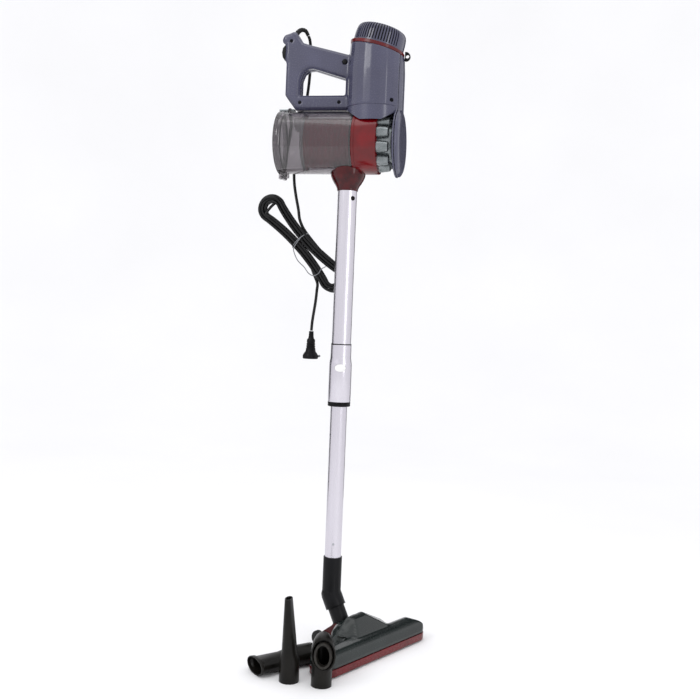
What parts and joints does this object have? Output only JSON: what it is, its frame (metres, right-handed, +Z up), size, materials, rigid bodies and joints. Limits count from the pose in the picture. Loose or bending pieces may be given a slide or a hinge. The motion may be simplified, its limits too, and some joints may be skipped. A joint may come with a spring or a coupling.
{
  "type": "upright vacuum cleaner",
  "caption": "Corded upright stick vacuum cleaner: cyclone hand unit with loop handle, telescopic tube, wide tilting floor head, tied mains cord and loose cleaning tools.",
  "frame": {"origin": "on the floor under the middle of the part's box, taken without the cord, its relief and its plug", "axes": "+Z up along the tube, +X from the dust cup's lid towards the motor, the screw side of the hand unit faces -Y"},
  "size_m": [0.344, 0.3074, 1.1208],
  "materials": {
    "hand_unit_plastic": "moulded slate-blue ABS, gloss",
    "rear_cover_plastic": "moulded light grey ABS, satin gloss",
    "trim_red": "moulded dark red ABS",
    "bumper_red": "moulded red PP",
    "head_cover_plastic": "moulded dark grey-green ABS, gloss",
    "black_plastic": "moulded black PP, fine texture",
    "bristle": "nylon bristle",
    "wheel_rubber": "moulded rubber",
    "seal_rubber": "moulded seal rubber",
    "cord_rubber": "PVC cord sheath",
    "tube_aluminium": "drawn and anodised aluminium",
    "steel": "zinc-plated steel",
    "screw_steel": "black oxide steel",
    "white_plastic": "moulded white POM",
    "cup_clear": "smoke-tinted clear polycarbonate",
    "cyclone_red": "red-tinted clear polycarbonate",
    "crown_silver": "silver metallic ABS",
    "shroud_red": "perforated red-purple shroud",
    "filter_foam": "open-cell polyurethane foam",
    "filter_paper": "pleated filter paper"
  },
  "bodies": {
    "floor_head": {"head_cover": "head_cover_plastic", "bumper_frame": "bumper_red", "sole_plate": "black_plastic", "glide_left": "black_plastic", "glide_right": "black_plastic", "brush_strip_rear": "bristle", "brush_strip_front": "bristle", "rear_carriage": "black_plastic", "wheel_axle": "steel", "tilt_pin_left": "steel", "tilt_pin_right": "steel"},
    "wheel_left": {"wheel_left": "wheel_rubber"},
    "wheel_right": {"wheel_right": "wheel_rubber"},
    "neck_link": {"neck_pipe": "black_plastic"},
    "stick_base": {"neck_socket": "black_plastic", "lower_tube": "tube_aluminium"},
    "upper_wand": {"upper_tube": "tube_aluminium", "tube_bushing": "white_plastic", "end_ring": "black_plastic", "tube_sleeve": "tube_aluminium", "sleeve_band": "seal_rubber", "snap_leaf": "steel"},
    "latch_button": {"latch_button": "white_plastic"},
    "snap_button": {"snap_button": "black_plastic"},
    "dust_cup": {"inlet_socket": "cyclone_red", "cup_body": "cup_clear", "lid_hinge_pin": "steel", "cyclone_housing": "cyclone_red", "cup_gasket": "seal_rubber", "cyclone_crown": "crown_silver", "cyclone_shroud": "shroud_red", "foam_filter": "filter_foam"},
    "cup_lid": {"cup_lid": "cup_clear", "lid_seal": "seal_rubber"},
    "lid_latch": {"lid_latch": "crown_silver"},
    "motor_unit": {"housing_left": "hand_unit_plastic", "housing_right": "hand_unit_plastic", "rear_cover": "rear_cover_plastic", "trim_ring": "trim_red", "exhaust_filter": "filter_paper", "motor": "steel", "motor_mount": "seal_rubber", "strap_eye": "black_plastic", "cord_relief": "cord_rubber", "screw_horn": "screw_steel", "screw_bridge_lid": "screw_steel", "screw_bridge_motor": "screw_steel", "screw_barrel": "screw_steel", "cord_drop": "cord_rubber", "cord_hank": "cord_rubber", "cord_tail": "cord_rubber", "plug": "black_plastic"},
    "exhaust_cap": {"exhaust_cap": "hand_unit_plastic"},
    "fan": {"impeller": "black_plastic"},
    "power_switch": {"power_switch": "black_plastic"},
    "release_button": {"release_button": "black_plastic"},
    "crevice_tool": {"crevice_tool": "black_plastic"},
    "dusting_brush": {"dusting_brush": "black_plastic", "brush_bristles": "bristle"},
    "upholstery_nozzle": {"upholstery_nozzle": "black_plastic"}
  },
  "joints": [
    {"name": "neck_tilt", "type": "hinge", "parent": "floor_head", "child": "neck_link", "pos_m": [0.01379, 0.05176, 0.03431], "axis": [0.4695, 0.8829, 0], "range_deg": [-45, 10]},
    {"name": "neck_swivel", "type": "hinge", "parent": "neck_link", "child": "stick_base", "pos_m": [-0.00475, 0.06162, 0.07068], "axis": [0.4415, -0.2347, -0.866], "range_deg": [-50, 50]},
    {"name": "tube_telescope", "type": "slide", "parent": "stick_base", "child": "upper_wand", "axis": [0, 0, 1], "range_m": [-0.235, 0]},
    {"name": "latch_button_press", "type": "slide", "parent": "upper_wand", "child": "latch_button", "axis": [-0.1908, 0.9816, 0], "range_m": [0, 0.0012], "stiffness_N_per_m": 800},
    {"name": "snap_button_press", "type": "slide", "parent": "upper_wand", "child": "snap_button", "axis": [-0.7314, 0.682, 0], "range_m": [0, 0.0016], "stiffness_N_per_m": 800},
    {"name": "hand_unit_lift_off", "type": "slide", "parent": "upper_wand", "child": "dust_cup", "axis": [0, 0, 1], "range_m": [0, 0.03]},
    {"name": "motor_unit_pull_off", "type": "slide", "parent": "dust_cup", "child": "motor_unit", "axis": [1, 0, 0], "range_m": [0, 0.035]},
    {"name": "lid_hinge", "type": "hinge", "parent": "dust_cup", "child": "cup_lid", "pos_m": [-0.13458, 0.06632, 0.843], "axis": [0, -1, 0], "range_deg": [0, 95]},
    {"name": "lid_latch_press", "type": "hinge", "parent": "dust_cup", "child": "lid_latch", "pos_m": [-0.12558, 0.06632, 0.966], "axis": [0, 1, 0], "range_deg": [0, 7], "stiffness_Nm_per_rad": 0.4},
    {"name": "exhaust_cap_lift_off", "type": "slide", "parent": "motor_unit", "child": "exhaust_cap", "axis": [0.2419, 0, 0.9703], "range_m": [0, 0.025]},
    {"name": "fan_spin", "type": "hinge", "parent": "motor_unit", "child": "fan", "pos_m": [0.03142, 0.06632, 0.99], "axis": [0, 0, 1], "continuous": true},
    {"name": "power_switch_press", "type": "slide", "parent": "motor_unit", "child": "power_switch", "axis": [1, 0, 0], "range_m": [0, 0.002], "stiffness_N_per_m": 700},
    {"name": "release_button_press", "type": "slide", "parent": "motor_unit", "child": "release_button", "axis": [0, 1, 0], "range_m": [0, 0.002], "stiffness_N_per_m": 700},
    {"name": "wheel_left_spin", "type": "hinge", "parent": "floor_head", "child": "wheel_left", "pos_m": [-0.0302, 0.04571, 0.013], "axis": [0.4695, 0.8829, 0], "continuous": true},
    {"name": "wheel_right_spin", "type": "hinge", "parent": "floor_head", "child": "wheel_right", "pos_m": [-0.00579, 0.09162, 0.013], "axis": [0.4695, 0.8829, 0], "continuous": true},
    {"name": "crevice_tool_lift", "type": "slide", "parent": "floor_head", "child": "crevice_tool", "axis": [0, 0, 1], "range_m": [0, 0.06]},
    {"name": "dusting_brush_lift", "type": "slide", "parent": "floor_head", "child": "dusting_brush", "axis": [0, 0, 1], "range_m": [0, 0.06]},
    {"name": "upholstery_nozzle_lift", "type": "slide", "parent": "floor_head", "child": "upholstery_nozzle", "axis": [0, 0, 1], "range_m": [0, 0.06]}
  ]
}
